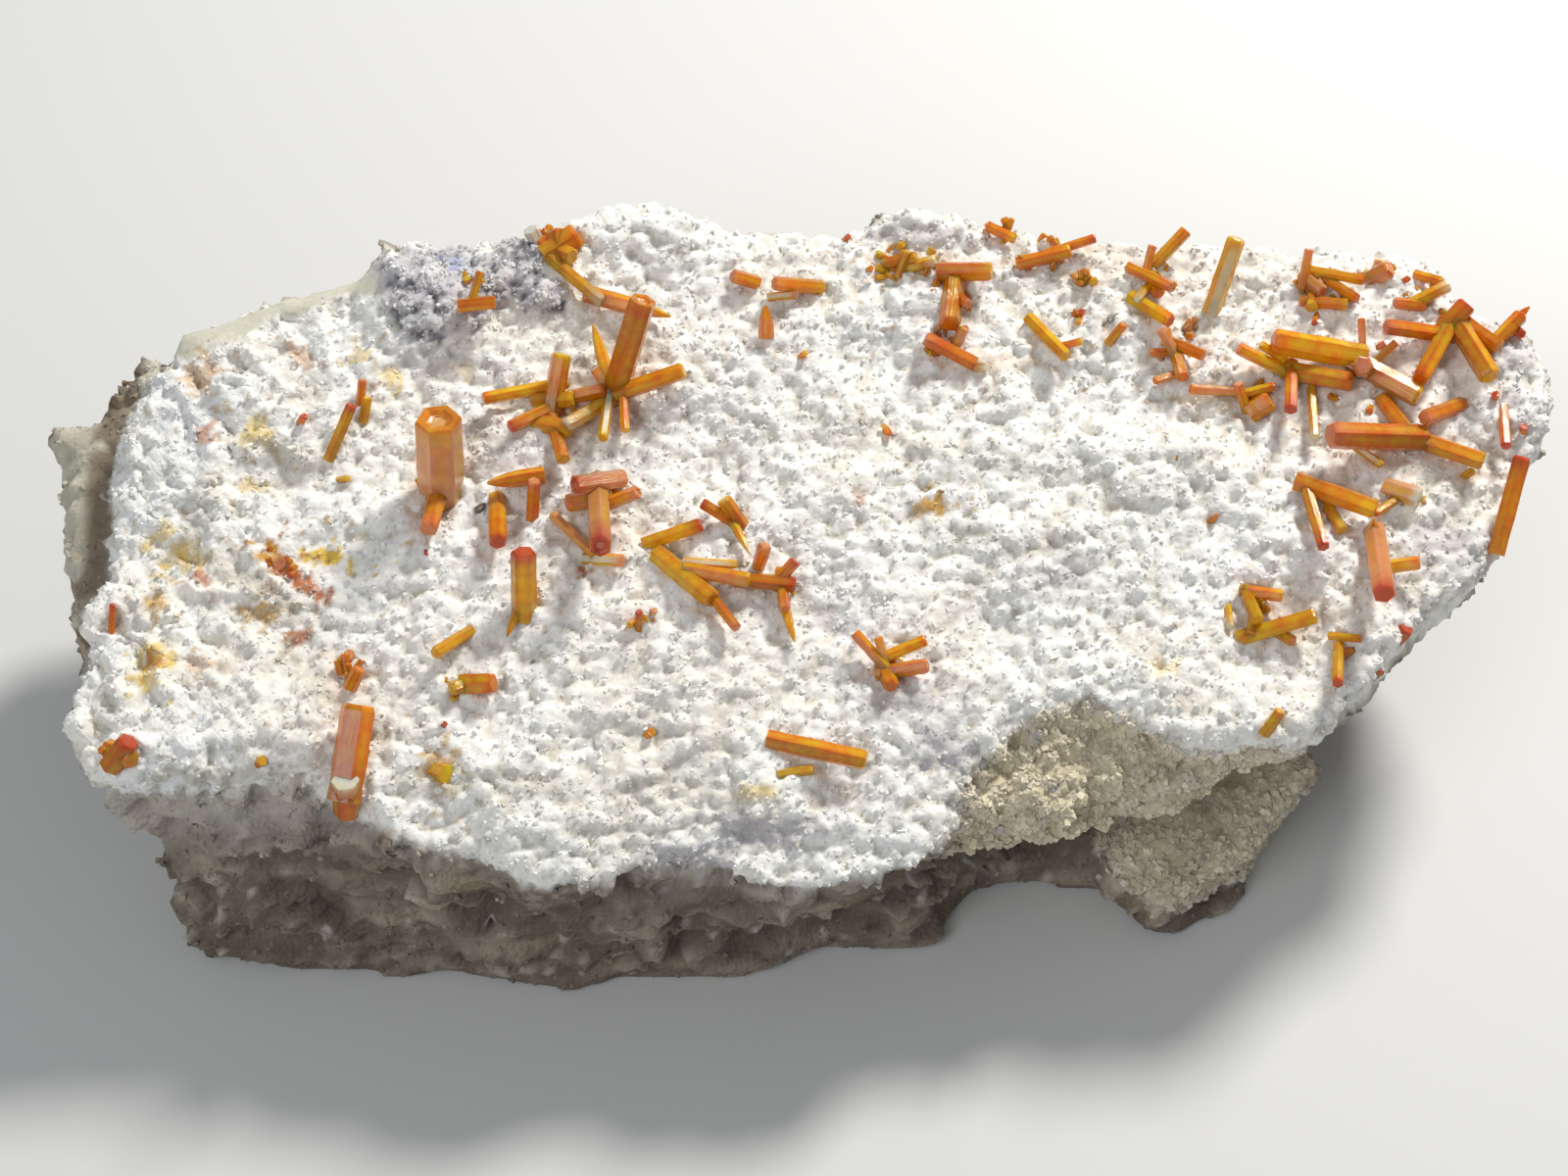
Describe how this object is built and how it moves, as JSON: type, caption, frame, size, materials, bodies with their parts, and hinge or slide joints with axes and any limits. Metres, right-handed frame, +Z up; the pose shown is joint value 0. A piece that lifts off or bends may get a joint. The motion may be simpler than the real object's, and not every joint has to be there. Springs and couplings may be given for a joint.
{
  "type": "mineral specimen",
  "caption": "Vanadinite specimen: orange hexagonal prisms, single and in stars, on a slab of rock with a white granular crust and a flat underside.",
  "frame": {"origin": "middle of the bounding box of the whole specimen, at the height of the flat underside", "axes": "+X along the slab, to the right as the picture shows it; +Y away from the camera, towards the higher back edge; +Z up"},
  "size_m": [0.067, 0.0332, 0.0203],
  "materials": {
    "crust": "granular, matt",
    "vanadinite": "glassy to resinous, translucent",
    "pale_crystal": "glassy, translucent"
  },
  "bodies": {
    "root": {"amber_stub": "vanadinite", "big_right": "vanadinite", "bullet": "vanadinite", "carrot": "vanadinite", "carrot_chunk": "vanadinite", "chain": "vanadinite", "chain_pink": "vanadinite", "chain_red_end": "vanadinite", "corner_chunk": "vanadinite", "curved_blade": "vanadinite", "edge_slim": "vanadinite", "edge_tall": "vanadinite", "ladder_stub": "vanadinite", "ladder_top": "vanadinite", "left_star": "vanadinite", "left_star_foot": "vanadinite", "left_stub": "vanadinite", "long_window": "vanadinite", "low_right": "vanadinite", "low_right_slim": "vanadinite", "low_right_window": "vanadinite", "low_stub": "vanadinite", "low_v": "vanadinite", "lying": "vanadinite", "lying_mate": "vanadinite", "matrix": "crust", "mid_right": "vanadinite", "mid_right_pink": "vanadinite", "ochre_chunk": "vanadinite", "over_star": "vanadinite", "overhang_stub": "vanadinite", "pale_cube": "pale_crystal", "patch_sprig": "vanadinite", "right_druse": "vanadinite", "right_star": "vanadinite", "rim_lump": "vanadinite", "slim_mates": "vanadinite", "slim_red": "vanadinite", "small_cross": "vanadinite", "tall_right": "vanadinite", "top_amber": "vanadinite", "top_chunk": "vanadinite", "top_corner": "vanadinite", "top_druse": "vanadinite", "top_long": "vanadinite", "top_pink": "vanadinite", "top_prism": "vanadinite", "top_right": "vanadinite", "top_slant": "vanadinite", "top_small": "vanadinite", "top_spike": "vanadinite", "tower": "vanadinite", "trio": "vanadinite", "upper_star": "vanadinite", "v_pair": "vanadinite"}
  },
  "joints": []
}
